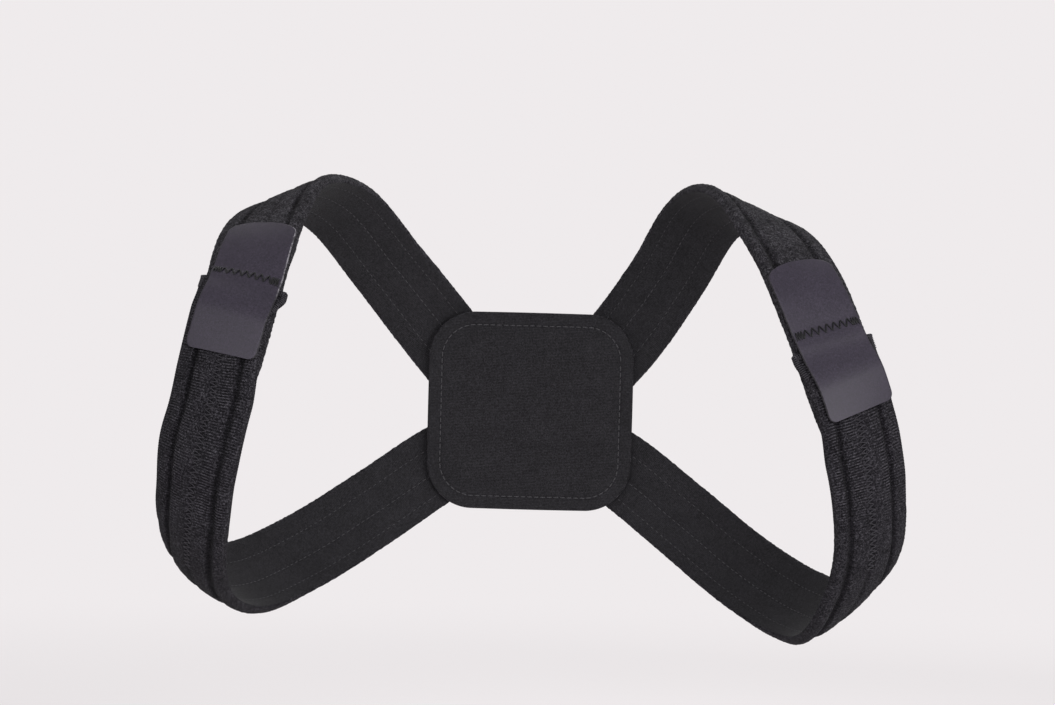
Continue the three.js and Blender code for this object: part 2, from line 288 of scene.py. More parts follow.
# Thickness across a strap as a share of the full one: 1 less a bell curve for each seam and beside each
# folded edge, and the droop of each panel, a fourth power of the way from its middle, with rounded edges
def ribShare(across, half):
    b = strapBuild
    place = across / half
    seams = zip(b["seams"], b["seamSpreads"], b["seamDepths"])
    dent = sum(depth * bell(place, middle, spread) for middle, spread, depth in seams)
    dent = dent + b["hemDent"] * bell(np.abs(place), b["hemLine"], b["hemSpread"])
    dent = dent - b["hemHeight"] * bell(np.abs(place), b["hem"], b["hemSpread"])
    panels = np.array([-1, *b["seams"], 1])
    panel = np.clip(np.searchsorted(panels, place) - 1, 0, len(panels) - 2)
    low, high = panels[panel], panels[panel + 1]
    droop = b["panelDroop"] * np.minimum(np.abs(2 * place - low - high) / (high - low), 1) ** 4
    intoEdge = np.maximum(np.abs(across) - half + b["edgeRound"], 0) / b["edgeRound"]
    crown = np.sqrt(np.maximum(1 - intoEdge**2, 0))
    return b["edgeShare"] + (1 - b["edgeShare"]) * (1 - dent - droop) * crown


# The two straps of one side, each with its ends along the route, its width, how far off the skin it lies
# and its thickness, and the height of the tab's lower face
def strapLayers(path):
    b = strapBuild
    seamAt, tuckAt = path["side"]["seamAt"], path["side"]["tuckAt"]
    sewnEnd = seamAt + path["side"]["endBelow"]
    pressed = b["thickness"] * b["pressedShare"]

    def shoulderThickness(along):
        press = ramp(along, seamAt - b["pressLength"], seamAt)
        return b["thickness"] + (pressed - b["thickness"]) * press

    def edge(which, along):
        return offsetAt(path["side"][which], along - seamAt)

    def shoulderWidth(along):
        taper = b["tuckTaper"] * ramp(along, tuckAt - b["tuckTaperLength"], tuckAt)
        return b["shoulderWidth"] + edge("shoulderInner", along) - taper

    def underarmWidth(along):
        return b["underarmWidth"] + edge("underarmInner", along) + edge("underarmOuter", along)

    def underarmLift(along):
        return (pressed + b["gap"]) * (1 - ramp(along, tuckAt + b["settleStart"], tuckAt + b["settleEnd"]))

    def underarmThickness(along):
        fill = ramp(along, sewnEnd, sewnEnd + b["sewnEndLength"])
        return b["thickness"] * (b["sewnEndShare"] + (1 - b["sewnEndShare"]) * fill)

    def tabRest(along):
        low = shoulderThickness(along) + b["gap"]
        high = underarmLift(along) + underarmThickness(along) + b["gap"]
        return low + (high - low) * ramp(along, seamAt - tabBuild["climb"], sewnEnd + tabBuild["climbed"])

    shoulder = {
        "path": path,
        "start": 0,
        "end": tuckAt,
        "width": shoulderWidth,
        "shift": lambda along: edge("shoulderInner", along) / 2,
        "lift": lambda along: 0 * along,
        "thickness": shoulderThickness,
    }
    underarm = {
        "path": path,
        "start": sewnEnd,
        "end": path["along"][-1],
        "width": underarmWidth,
        "shift": lambda along: (edge("underarmInner", along) - edge("underarmOuter", along)) / 2,
        "lift": underarmLift,
        "thickness": underarmThickness,
    }
    return shoulder, underarm, tabRest


def halfWidth(strap, along):  # half the width, less the round corners at the two ends
    radius = strapBuild["endCorner"]
    ends = corner(along - strap["start"], radius, radius) + corner(strap["end"] - along, radius, radius)
    return strap["width"](along) / 2 - ends


# Thickness of a strap at a place on it, rounded off towards its ends by a quarter of an ellipse
def strapHeight(strap, along, across):
    b = strapBuild
    fromEnd = np.minimum(along - strap["start"], strap["end"] - along)
    rounding = np.sqrt(1 - (1 - np.clip(fromEnd / b["endRound"], 0, 1)) ** 2)
    end = b["endThin"] + (1 - b["endThin"]) * rounding
    half = halfWidth(strap, along)
    return strap["thickness"](along) * ribShare(np.clip(across, -half, half), half) * end


# A point over a strap's skin side, across counted from its middle
def placeStrap(strap, along, across, above):
    return placeOn(strap["path"], along, across + strap["shift"](along), strap["lift"](along) + above)


def onStrap(strap, along, across, above):  # a point over its outer face
    return placeStrap(strap, along, across, strapHeight(strap, along, across) + above)


def underStrap(strap, along, across, above):  # a point off its skin side, in the dent of a seam
    return placeStrap(strap, along, across, strapBuild["skinDent"] - above)


# Closed tubes in one mesh, from rings of points, tubes by rows by columns by three, with a face on each end.
# weave holds three numbers for each point that the materials read.
def tubeMesh(name, points, weave, materials, materialOfColumn=None):
    tubes, rows, columns = points.shape[:3]
    index = np.arange(tubes * rows * columns).reshape(tubes, rows, columns)
    beside = np.roll(index, -1, axis=2)
    quads = np.stack([index[:, :-1], beside[:, :-1], beside[:, 1:], index[:, 1:]], -1).reshape(-1, 4)
    ends = np.concatenate([index[:, 0, ::-1], index[:, -1]])
    a, b, c, d = (points - points.mean(axis=(1, 2), keepdims=True)).reshape(-1, 3)[quads.T]
    if np.sum(np.cross(a, b) * c) + np.sum(np.cross(a, c) * d) < 0:  # inside out
        quads, ends = quads[:, ::-1], ends[:, ::-1]
    slots = None
    if materialOfColumn is not None:
        slots = np.concatenate([np.tile(materialOfColumn, rows - 1), [materialOfColumn[0]] * 2])
    return addMesh(name, points.reshape(-1, 3), [*quads.tolist(), *ends.tolist()], weave, materials, slots)


# An object at the origin, with its place in its mesh
def addMesh(name, points, faces, weave, materials, slots=None):
    mesh = bpy.data.meshes.new(name)
    mesh.from_pydata(points, [], faces)
    for material in materials:
        mesh.materials.append(material)
    if slots is not None:
        mesh.polygons.foreach_set("material_index", slots.astype(np.int32))
    mesh.polygons.foreach_set("use_smooth", np.ones(len(mesh.polygons), bool))
    attribute = mesh.attributes.new("weave", "FLOAT_VECTOR", "POINT")
    attribute.data.foreach_set("vector", np.asarray(weave, np.float32).ravel())
    mesh.update()
    made = bpy.data.objects.new(name, mesh)
    bpy.context.scene.collection.objects.link(made)
    return made


# Many short threads in one mesh. paths is threads by points by three, outward the same for the way up from
# the cloth. Each thread is a round section of the radius carried along its path, thinner at both ends.
def threadMesh(name, paths, outward, radius, material, turns=6, endShare=0.6):
    tangent = unit(np.gradient(paths, axis=1))
    aside = unit(np.cross(tangent, outward))
    upward = np.cross(aside, tangent)
    angle = np.linspace(0, 2 * np.pi, turns, endpoint=False)
    ring = aside[:, :, None] * np.cos(angle)[:, None] + upward[:, :, None] * np.sin(angle)[:, None]
    swell = endShare + (1 - endShare) * np.sin(np.linspace(0, np.pi, paths.shape[1])) ** 0.5
    place = paths[:, :, None] + ring * (radius * swell * mm)[:, None, None]
    run = np.linalg.norm(np.diff(paths, axis=1, prepend=paths[:, :1]), axis=2).cumsum(axis=1) / mm
    weave = np.stack(np.broadcast_arrays(angle, run[:, :, None], 0.0), -1)
    return tubeMesh(name, place, weave, [material])


# Stitches over a surface, from places to places, both threads by two. surface gives the points at two
# coordinates and a height above the cloth, and each stitch is an arch that dips into it at both ends.
def stitchMesh(name, surface, starts, ends, radius, material, points=5, turns=5):
    share = np.linspace(0, 1, points)
    place = starts[:, None] + (ends - starts)[:, None] * share[None, :, None]
    above = radius * (stitchBuild["arch"] * np.sin(np.pi * share) ** 0.5 - stitchBuild["dip"])
    paths = surface(place[..., 0], place[..., 1], above)
    outward = unit(surface(place[..., 0], place[..., 1], above + 1) - paths)
    return threadMesh(name, paths, outward, radius, material, turns)


# Starts and ends of stitches of one length, with gaps between, along a line of places
def dashes(line, stitch, gap):
    run = runOf(line)
    starts = np.arange(0, run[-1] - stitch, stitch + gap)
    return lookUp(starts, run, line), lookUp(starts + stitch, run, line)


def dashesOn(lines, stitch, gap):  # the same on several lines
    return (np.vstack(part) for part in zip(*(dashes(line, stitch, gap) for line in lines)))


def zigzag(alongs, height):  # places at the corners of a zigzag
    return np.stack([alongs, np.where(np.arange(len(alongs)) % 2 == 0, 0.5, -0.5) * height], -1)


def addNode(tree, kind, values=None, **settings):
    made = tree.nodes.new(kind)
    for key, value in settings.items():
        setattr(made, key, value)
    for key, value in (values or {}).items():
        made.inputs[key].default_value = value
    return made


def addFed(tree, kind, *values, **settings):  # a node whose inputs take numbers or other nodes' outputs
    made = addNode(tree, kind, **settings)
    for socket, value in zip(made.inputs, values):
        if isinstance(value, (int, float)):
            socket.default_value = value
        else:
            tree.links.new(value, socket)
    return made.outputs


def addMath(tree, operation, *values):
    return addFed(tree, "ShaderNodeMath", *values, operation=operation)[0]


def weighted(tree, *terms):  # the sum of values, each times its weight
    parts = [value if weight == 1 else addMath(tree, "MULTIPLY", value, weight) for value, weight in terms]
    total = parts[0]
    for part in parts[1:]:
        total = addMath(tree, "ADD", total, part)
    return total


def wave(tree, kind, value, turns):  # the sine or cosine of a value times turns
    return addMath(tree, kind, addMath(tree, "MULTIPLY", value, turns))


def halved(tree, swing):  # from -1 to 1 into 0 to 1
    return addMath(tree, "MULTIPLY_ADD", swing, 0.5, 0.5)


def remap(tree, value, fromMin, fromMax, toMin=0.0, toMax=1.0):
    limits = {"From Min": fromMin, "From Max": fromMax, "To Min": toMin, "To Max": toMax}
    made = addNode(tree, "ShaderNodeMapRange", limits, interpolation_type="SMOOTHSTEP")
    tree.links.new(value, made.inputs["Value"])
    return made.outputs["Result"]


# A node group with a Height and a Tone: its tree, what goes in and what comes out
def newGroup(name, **inputs):
    tree = bpy.data.node_groups.new(name, "ShaderNodeTree")
    for label, kind in inputs.items():
        tree.interface.new_socket(label, in_out="INPUT", socket_type=kind)
    for label in ("Height", "Tone"):
        tree.interface.new_socket(label, in_out="OUTPUT", socket_type="NodeSocketFloat")
    return tree, addNode(tree, "NodeGroupInput").outputs, addNode(tree, "NodeGroupOutput").inputs


grainBuild = {
    "fine": {"Detail": 3.0, "Roughness": 0.65, "Distortion": 1.1},
    "slow": {"Detail": 2.0, "Roughness": 0.5, "Scale": 70.0},
    "sharpen": (0.3, 0.7),
    "shares": (0.75, 0.25),  # of the fine and the slow noise in the tone
}
# painted light on the ribs' crests and painted shade in their hollows
ribCrestLightValleyShade = {"power": 1.7, "darker": 0.4}


# Loose fibres: fine noise bent by itself, over slow noise. Place is in metres and Size in millimetres.
def makeYarnGrain():
    tree, given, result = newGroup("yarnGrain", Place="NodeSocketVector", Size="NodeSocketFloat")
    fine, slow = (addNode(tree, "ShaderNodeTexNoise", grainBuild[key]) for key in ("fine", "slow"))
    for noise in (fine, slow):
        tree.links.new(given["Place"], noise.inputs["Vector"])
    tree.links.new(addMath(tree, "DIVIDE", 1000.0, given["Size"]), fine.inputs["Scale"])
    sharp = remap(tree, fine.outputs["Fac"], *grainBuild["sharpen"])
    tone = weighted(tree, *zip((sharp, slow.outputs["Fac"]), grainBuild["shares"]))
    tree.links.new(sharp, result["Height"])
    tree.links.new(tone, result["Tone"])
    return tree


# Crosswise ribs of a knit: a wave over the phase, counted in ribs, that is as high as the strength. Its tone
# is painted light on the crests and painted shade in the hollows, scaled by the strength
def makeCrossRibs():
    tree, given, result = newGroup("crossRibs", Phase="NodeSocketFloat", Strength="NodeSocketFloat")
    level = halved(tree, wave(tree, "COSINE", given["Phase"], 2 * math.pi))
    tone = addMath(tree, "SUBTRACT", addMath(tree, "POWER", level, ribCrestLightValleyShade["power"]), ribCrestLightValleyShade["darker"])
    tree.links.new(addMath(tree, "MULTIPLY", level, given["Strength"]), result["Height"])
    tree.links.new(addMath(tree, "MULTIPLY", tone, given["Strength"]), result["Tone"])
    return tree


yarnGrain = makeYarnGrain()
crossRibs = makeCrossRibs()


def newMaterial(name, values):
    material = bpy.data.materials.new(name)
    material.use_nodes = True
    tree = material.node_tree
    shader = tree.nodes["Principled BSDF"]
    for key, value in values.items():
        shader.inputs[key].default_value = value
    return material, tree, shader


def readWeave(tree):
    read = addNode(tree, "ShaderNodeAttribute", attribute_name="weave")
    return addFed(tree, "ShaderNodeSeparateXYZ", read.outputs["Vector"])


def readPlace(tree):
    return addNode(tree, "ShaderNodeTexCoord").outputs["Object"]


def addGrain(tree, size):
    return addFed(tree, "ShaderNodeGroup", readPlace(tree), size, node_tree=yarnGrain)


def addRibs(tree, phase, strength):
    return addFed(tree, "ShaderNodeGroup", phase, strength, node_tree=crossRibs)


# A material from its finish. cloth makes its tone, which runs through the colours, and its height, from which
# the bump comes, in millimetres and a strength.
def makeCloth(name, finish, cloth):
    material, tree, shader = newMaterial(name, finish["shader"])
    tone, height = cloth(tree, finish)
    colours = finish["colours"]
    shades = addNode(tree, "ShaderNodeValToRGB")
    for element, (position, colour) in zip(shades.color_ramp.elements, (colours[0], colours[-1])):
        element.position = position
        element.color = (*colour, 1)
    for position, colour in colours[1:-1]:
        shades.color_ramp.elements.new(position).color = (*colour, 1)
    tree.links.new(tone, shades.inputs["Fac"])
    tree.links.new(shades.outputs["Color"], shader.inputs["Base Color"])
    distance, strength = finish["bump"]
    bump = addNode(tree, "ShaderNodeBump", {"Distance": distance * mm, "Strength": strength})
    tree.links.new(height, bump.inputs["Height"])
    tree.links.new(bump.outputs["Normal"], shader.inputs["Normal"])
    return material


ribKnitFinish = {
    "shader": {"Roughness": 0.8, "Specular IOR Level": 0.05, "Sheen Weight": 0.02, "Sheen Roughness": 0.5},
    "grainSize": 0.9,
    "patchSize": 5.0,
    "patchTones": (0.2, 0.8),
    "grainShares": (0.88, 0.8),  # in the tone and the height
    "ribShares": (0.3, 0.66),  # of the ribs' painted light and shade, in a patch where they are worn and where they are whole
    # painted highlight along the folded edge, how much lighter
    "hemHighlight": 0.25,
    "hemReach": (0.004, 0.024),  # from the folded edge, where the painted highlight starts and ends to fade
    # painted shade in the seams' grooves, how much darker at each
    "seamPaintedShades": (0.2, 0.1, 0.2),
    "seamReach": (0.02, 0.1),
    "colours": (
        (0.1, (0.003, 0.0027, 0.0035)),
        (0.45, (0.0132, 0.0119, 0.0151)),
        (0.9, (0.075, 0.071, 0.082)),
    ),
    "bump": (0.45, 0.9),
}


# Painted shade in a strap's seams, how much darker it is there: by the depth at each one, fading over the
# reach
def seamPaintedShade(tree, across, depths, reach):
    shades = []
    for place, depth in zip(strapBuild["seams"], depths):
        away = addMath(tree, "ABSOLUTE", addMath(tree, "SUBTRACT", across, place))
        shades.append(remap(tree, away, *reach, -depth, 0.0))
    return weighted(tree, *((shade, 1) for shade in shades))


# Ribbed knit of the underarm straps: crosswise ribs where the weave says so, painted lighter on their crests
# and darker in their hollows, broken up in patches, under loose yarn, with a painted highlight along the
# folded edges beside the ribs and painted shade at the seams
def ribbed(tree, finish):
    weave = readWeave(tree)
    grain = addGrain(tree, finish["grainSize"])
    ribs = addRibs(tree, weave["Y"], weave["Z"])
    across = addMath(tree, "ABSOLUTE", weave["X"])
    # painted highlight along the folded edge, as strong as the ribs there
    fromHem = addMath(tree, "ABSOLUTE", addMath(tree, "SUBTRACT", across, strapBuild["hem"]))
    hem = remap(tree, fromHem, *finish["hemReach"], finish["hemHighlight"], 0.0)
    edge = addMath(tree, "MULTIPLY", hem, weave["Z"])
    # painted shade at the seams
    seams = seamPaintedShade(tree, weave["X"], finish["seamPaintedShades"], finish["seamReach"])
    patches = addGrain(tree, finish["patchSize"])["Tone"]
    whole = remap(tree, patches, *finish["patchTones"], *finish["ribShares"])
    # the ribs' painted light and shade, weaker where the patches are worn
    broken = addMath(tree, "MULTIPLY", ribs["Tone"], whole)
    inTone, inHeight = finish["grainShares"]
    tone = weighted(tree, (grain["Tone"], inTone), (broken, 1), (edge, 1), (seams, 1))
    height = weighted(tree, (grain["Height"], inHeight), (ribs["Height"], 1))
    return tone, height


pileFinish = {
    "shader": {"Roughness": 0.95, "Specular IOR Level": 0.04, "Sheen Weight": 0.04, "Sheen Roughness": 0.5},
    "grainSize": 1.5,
    "fibreShare": 0.4,  # of that size, for the finer yarn
    # painted shade in the seams' grooves, how much darker at each
    "seamPaintedShades": (0.14, 0.0, 0.14),
    "seamReach": (0.02, 0.08),
    "colours": (
        (0.22, (0.003, 0.0027, 0.0034)),
        (0.5, (0.017, 0.0155, 0.0195)),
        (0.8, (0.088, 0.083, 0.095)),
    ),
    "bump": (0.5, 0.9),
}


# Brushed loop pile of the shoulder straps: loose yarn in two sizes, with painted shade at the seams
def brushed(tree, finish):
    loops = addGrain(tree, finish["grainSize"])
    fibres = addGrain(tree, finish["grainSize"] * finish["fibreShare"])
    # painted shade at the seams
    seams = seamPaintedShade(tree, readWeave(tree)["X"], finish["seamPaintedShades"], finish["seamReach"])
    tone = weighted(tree, (loops["Tone"], 0.5), (fibres["Tone"], 0.5), (seams, 1))
    height = weighted(tree, (loops["Height"], 1), (fibres["Height"], 0.5))
    return tone, height


liningFinish = {
    "shader": {"Roughness": 0.8, "Specular IOR Level": 0.14, "Sheen Weight": 0.04, "Sheen Roughness": 0.5},
    "grainSize": 0.7,
    "coursesPerRib": 1.6,
    "courseStrength": 0.3,
    "colours": (
        (0.1, (0.004, 0.0037, 0.0045)),
        (0.5, (0.012, 0.0113, 0.0132)),
        (0.95, (0.03, 0.0285, 0.033)),
    ),
    "bump": (0.12, 0.7),
}


# Smooth lining on the skin side: a close knit with faint courses across it, painted lighter on their crests
# and darker in their hollows
def closeKnit(tree, finish):
    grain = addGrain(tree, finish["grainSize"])
    courses = addMath(tree, "MULTIPLY", readWeave(tree)["Y"], finish["coursesPerRib"])
    ribs = addRibs(tree, courses, finish["courseStrength"])
    tone, height = (addMath(tree, "ADD", grain[key], ribs[key]) for key in ("Tone", "Height"))
    return tone, height


tapeFinish = {
    "shader": {"Specular IOR Level": 0.42, "Sheen Weight": 0.02, "Sheen Roughness": 0.4},
    "grainSize": 0.9,
    "threadPitch": 0.45,
    "toneShares": (0.3, 0.6),  # of the threads and of the wear
    "colours": (
        (0.15, (0.0082, 0.006, 0.0118)),
        (0.5, (0.02, 0.015, 0.0275)),
        (0.85, (0.039, 0.031, 0.05)),
    ),
    "roughness": (0.44, 0.56),
    "bump": (0.05, 0.5),
}


# Satin back of a hook tape: fine woven lines along and across it, over faint cloudy wear
def satin(tree, finish):
    weave = readWeave(tree)
    wear = addGrain(tree, finish["grainSize"])["Tone"]
    turns = 2 * math.pi / finish["threadPitch"]
    warp, weft = (wave(tree, "SINE", weave[key], turns) for key in "XY")
    cloth = halved(tree, addMath(tree, "MULTIPLY", warp, weft))
    tone = weighted(tree, *zip((cloth, wear), finish["toneShares"]))
    rough = remap(tree, wear, 0.0, 1.0, *finish["roughness"])
    tree.links.new(rough, tree.nodes["Principled BSDF"].inputs["Roughness"])
    return tone, cloth


edgeFinish = {
    "shader": {"Roughness": 0.75, "Specular IOR Level": 0.3},
    "fraySize": 3.0,
    "toneShares": (0.7, 0.55),  # of the yarns and of the painted highlight
    # the palest colour is the painted highlight on the edge
    "colours": ((0.3, (0.014, 0.0125, 0.016)), (0.75, (0.045, 0.042, 0.048)), (1.0, (0.2, 0.19, 0.21))),
    "bump": (0.2, 0.8),
}


# Cut edge of the tape: broken yarns, with a painted highlight where the weave says so
def cutEdgeYarnsAndHighlight(tree, finish):
    grain = addGrain(tree, finish["fraySize"])
    tone = weighted(tree, *zip((grain["Tone"], readWeave(tree)["Z"]), finish["toneShares"]))
    return tone, grain["Height"]


hookFinish = {
    "shader": {"Roughness": 0.5, "Specular IOR Level": 0.45},
    "hookPitch": 1.1,
    "hookFlank": (0.2, 1.7),  # from the foot of a hook to its top, on the sum of the two waves
    "colours": ((0.0, (0.004, 0.004, 0.0045)), (1.0, (0.035, 0.033, 0.038))),
    "bump": (0.6, 1.0),
}


# Hook side of the tape: rows of small stiff hooks
def hooked(tree, finish):
    weave = readWeave(tree)
    turns = 2 * math.pi / finish["hookPitch"]
    rows, hooks = (wave(tree, "COSINE", weave[key], turns) for key in "XY")
    level = remap(tree, addMath(tree, "ADD", rows, hooks), *finish["hookFlank"])
    return level, level


threadFinish = {
    "shader": {"Roughness": 0.5, "Specular IOR Level": 0.25, "Sheen Weight": 0.03, "Sheen Roughness": 0.4},
    "twist": (7.0, 2.0),  # along the thread and round it
    "bump": (0.1, 0.6),
}
threadColours = {
    "blackThread": ((0.0, (0.002, 0.002, 0.0024)), (1.0, (0.012, 0.0115, 0.013))),
    "greyThread": ((0.0, (0.014, 0.013, 0.015)), (1.0, (0.085, 0.082, 0.09))),
    "knitThread": ((0.0, (0.006, 0.0054, 0.007)), (1.0, (0.046, 0.042, 0.052))),
}


# Sewing thread: two plies twisted round each other, seen as slanting bands
def twisted(tree, finish):
    weave = readWeave(tree)
    twist = weighted(tree, *zip((weave["Y"], weave["X"]), finish["twist"]))
    ply = halved(tree, addMath(tree, "SINE", twist))
    return ply, ply


def makeThread(name):
    return makeCloth(name, {**threadFinish, "colours": threadColours[name]}, twisted)


ribKnit = makeCloth("ribKnit", ribKnitFinish, ribbed)
brushedPile = makeCloth("brushedPile", pileFinish, brushed)
lining = makeCloth("lining", liningFinish, closeKnit)
satinTape = makeCloth("satinTape", tapeFinish, satin)
cutEdgeWithHighlight = makeCloth("cutEdgeWithHighlight", edgeFinish, cutEdgeYarnsAndHighlight)
hookFace = makeCloth("hookFace", hookFinish, hooked)
blackThread, greyThread, knitThread = map(makeThread, threadColours)
print("materials made")

strapMesh = {
    "outerStops": 65,
    "channelStops": (-0.06, -0.04, -0.02, 0.02, 0.04, 0.06),
    "wall": ((1.014, 0.76), (1.016, 0.45), (1.002, 0.16)),  # across, and share of the height at the edge
    "innerStops": 23,
    "innerEdge": 0.965,
    "ribStep": 0.28,  # in the ribbed stretch
    "ribPitch": 1.42,
    "ribHeight": 0.34,
    "ribsFade": 34,
    # how strong each band of ribs is, where across and how wide
    "ribBands": ((1, -0.33, 0.15), (1, 0.41, 0.15), (0.8, 0.8, 0.11), (0.6, -0.74, 0.15)),
    "ribLeast": 0.3,  # strength between the bands
    "ribWaver": 0.25,
    "ribWaves": ((9.7, 3.1), (4.3, -5.3)),  # length along, and turn across
    "ribStray": ((0.35, 5.1, 31), (0.15, 2.7, -19)),  # by how many ribs, over what length across and along
    "swell": 0.025,
    "swellWaves": ((13, 4), (29, -2.3)),
    "pileStep": 0.65,
    "endStops": 9,
    "pileTuft": 1.3,  # size of the larger tufts of the brushed pile, and the finer ones have half of it
    "coarseShare": 0.55,
    "pileDepth": 0.55,
    "mottleGrid": (2048, 256),
    "seed": 11,
}


# Random heights on a square grid of the cell's size, with smooth steps between them
def mottle(along, across, cell, seed):
    heights = np.random.default_rng(seed).random(strapMesh["mottleGrid"])
    u, v = along / cell, across / cell + strapMesh["mottleGrid"][1] / 2
    row, column = np.floor(u).astype(int), np.floor(v).astype(int)
    s, t = ramp(u - row, 0, 1), ramp(v - column, 0, 1)
    low = heights[row, column] * (1 - t) + heights[row, column + 1] * t
    high = heights[row + 1, column] * (1 - t) + heights[row + 1, column + 1] * t
    return low * (1 - s) + high * s


# A strap's closed section: places across as shares of its half width, the share of the outer height there,
# and which of them lie on the skin side. It runs over the outer face from edge to edge, down a round side
# wall, back along the skin side and up the other wall.
def strapSection():
    m = strapMesh
    near = [middle + step for middle in strapBuild["seams"][::2] for step in m["channelStops"]]
    outer = np.unique(np.concatenate([np.linspace(-1, 1, m["outerStops"]), near]))
    wall = np.array(m["wall"])
    inner = np.linspace(m["innerEdge"], -m["innerEdge"], m["innerStops"])
    across = np.concatenate([outer, wall[:, 0], inner, -wall[::-1, 0]])
    level = np.concatenate([np.ones_like(outer), wall[:, 1], np.zeros_like(inner), wall[::-1, 1]])
    skin = np.repeat([0, 1, 0], [len(outer) + len(wall), len(inner) - 1, len(wall) + 1])
    return across, level, skin


# Slow waves over a strap, from -1 to 1: a sine for each length along it and turn across it, multiplied
def slowWaves(along, stops, waves):
    return np.prod([np.sin(along / length + turn * stops) for length, turn in waves], axis=0)


# How strongly the crosswise ribs show, from 0 to 1: most in a band of each panel, in slow waves along the
# strap, until they fade towards its lowest turn
def ribStrength(along, stops, ribsEnd):
    m = strapMesh
    bands = sum(share * bell(stops, middle, spread) for share, middle, spread in m["ribBands"])
    fade = 1 - ramp(along, ribsEnd - m["ribsFade"], ribsEnd)
    waves = 1 - m["ribWaver"] + m["ribWaver"] * slowWaves(along, stops, m["ribWaves"])
    return np.clip(m["ribLeast"] + (1 - m["ribLeast"]) * bands, 0, 1) * waves * fade


# A strap between its two ends. Its section is pushed along its own normal, out and in by the ribs until they
# end, and in between the tufts of the pile, and its padding sinks a little in slow waves.
def strapPiece(name, strap, along, ribsEnd, materials):
    m = strapMesh
    stops, level, skin = strapSection()
    s = along[:, None]
    across = stops * halfWidth(strap, s)
    swell = 1 + m["swell"] * slowWaves(s, stops, m["swellWaves"])
    seams = sum(bell(stops, seam, strapBuild["skinDentSpread"]) for seam in strapBuild["seams"])
    dent = strapBuild["skinDent"] * seams * (level == 0)
    height = strapHeight(strap, s, across) * level * np.minimum(swell, 1) + dent
    slopeAcross = np.roll(across, -1, axis=1) - np.roll(across, 1, axis=1)
    slopeHeight = np.roll(height, -1, axis=1) - np.roll(height, 1, axis=1)
    size = np.hypot(slopeAcross, slopeHeight)
    stray = sum(ribs * np.sin(across / wide + s / long) for ribs, wide, long in m["ribStray"])
    phase = s / m["ribPitch"] + stray
    strength = ribStrength(s, stops, ribsEnd) * (level > 0)
    coarse, fine = (mottle(s, across, m["pileTuft"] / part, m["seed"] + part - 1) for part in (1, 2))
    pile = m["coarseShare"] * coarse + (1 - m["coarseShare"]) * fine
    brushed = ramp(s, ribsEnd - m["ribsFade"], ribsEnd) * (level > 0)
    push = m["ribHeight"] * strength * np.cos(2 * np.pi * phase) / 2
    push = push + m["pileDepth"] * (pile - 1) * brushed
    points = placeStrap(strap, s, across - push * slopeHeight / size, height + push * slopeAcross / size)
    weave = np.stack(np.broadcast_arrays(stops, phase, strength), -1)
    return tubeMesh(name, points[None], weave, materials, skin)


# Rows of a strap: closer where it is ribbed, and closest where an end is rounded
def strapRows(strap, ribsEnd):
    turn = strapBuild["endRound"] * quarterTurn(strapMesh["endStops"])
    low, high = strap["start"] + turn[-1], strap["end"] - turn[-1]
    middle = [spreadAlong(max(low, ribsEnd), high, strapMesh["pileStep"])]
    if ribsEnd > low:
        middle = [spreadAlong(low, ribsEnd, strapMesh["ribStep"]), middle[0][1:]]
    return np.concatenate([strap["start"] + turn[:-1], *middle, strap["end"] - turn[-2::-1]])


# A point over the tab's outer face. It lies on what is under it, and rises towards its edges by the square
# of the way there.
def onTab(path, tabRest, along, across, above):
    t, side = tabBuild, path["side"]
    lift = t["edgeLift"] * (across / (t["widths"][1] / 2)) ** 2
    height = tabRest(along) + lift + t["thickness"] + above
    shift = besideTab(side, side["shifts"], along - side["seamAt"])
    return placeOn(path, along, across + shift, height, height)


# A tab: half its width is full, less the arc of the corner at each end
def tabPiece(side, path, tabRest):
    t = tabBuild
    top, bottom = side["seamAt"] - side["above"], side["seamAt"] + side["below"]
    turn = quarterTurn(t["cornerStops"])
    along = np.concatenate([
        top + t["topCorner"][0] * turn[:-1],
        spreadAlong(top + t["topCorner"][0], bottom - t["bottomCorner"][0], t["step"]),
        bottom - t["bottomCorner"][0] * turn[-2::-1],
    ])[:, None]
    full = besideTab(side, t["widths"], along - side["seamAt"]) / 2
    half = full - corner(along - top, *t["topCorner"]) - corner(bottom - along, *t["bottomCorner"])
    stops = np.linspace(-1, 1, t["stops"])
    wall = np.array(t["wall"])
    inset = np.where(np.abs(stops) == 1, t["edgeRound"], 0)
    inset = np.tile(np.append(inset, 0 * wall), 2)
    share = np.concatenate([stops, np.ones_like(wall), stops[::-1], -np.ones_like(wall)])
    level = np.concatenate([np.ones_like(stops), wall, np.zeros_like(stops), wall[::-1]])
    across = share * half - np.sign(share) * inset
    points = onTab(path, tabRest, along, across, t["thickness"] * (level - 1))
    # painted highlight on one cut edge of the tab, from its top to paleTo below the seam, fading over
    # paleFade
    paleEnd = side["seamAt"] + side["paleTo"]
    pale = (share > 0) * (1 - ramp(along, paleEnd - t["paleFade"], paleEnd))
    weave = np.stack(np.broadcast_arrays(across, along, pale), -1)
    faces = np.repeat([0, 1, 2, 1], [len(stops) - 1, len(wall) + 1] * 2)
    materials = [satinTape, cutEdgeWithHighlight, hookFace]
    return tubeMesh(f"{side['name']}_tab_tape", points[None], weave, materials, faces)


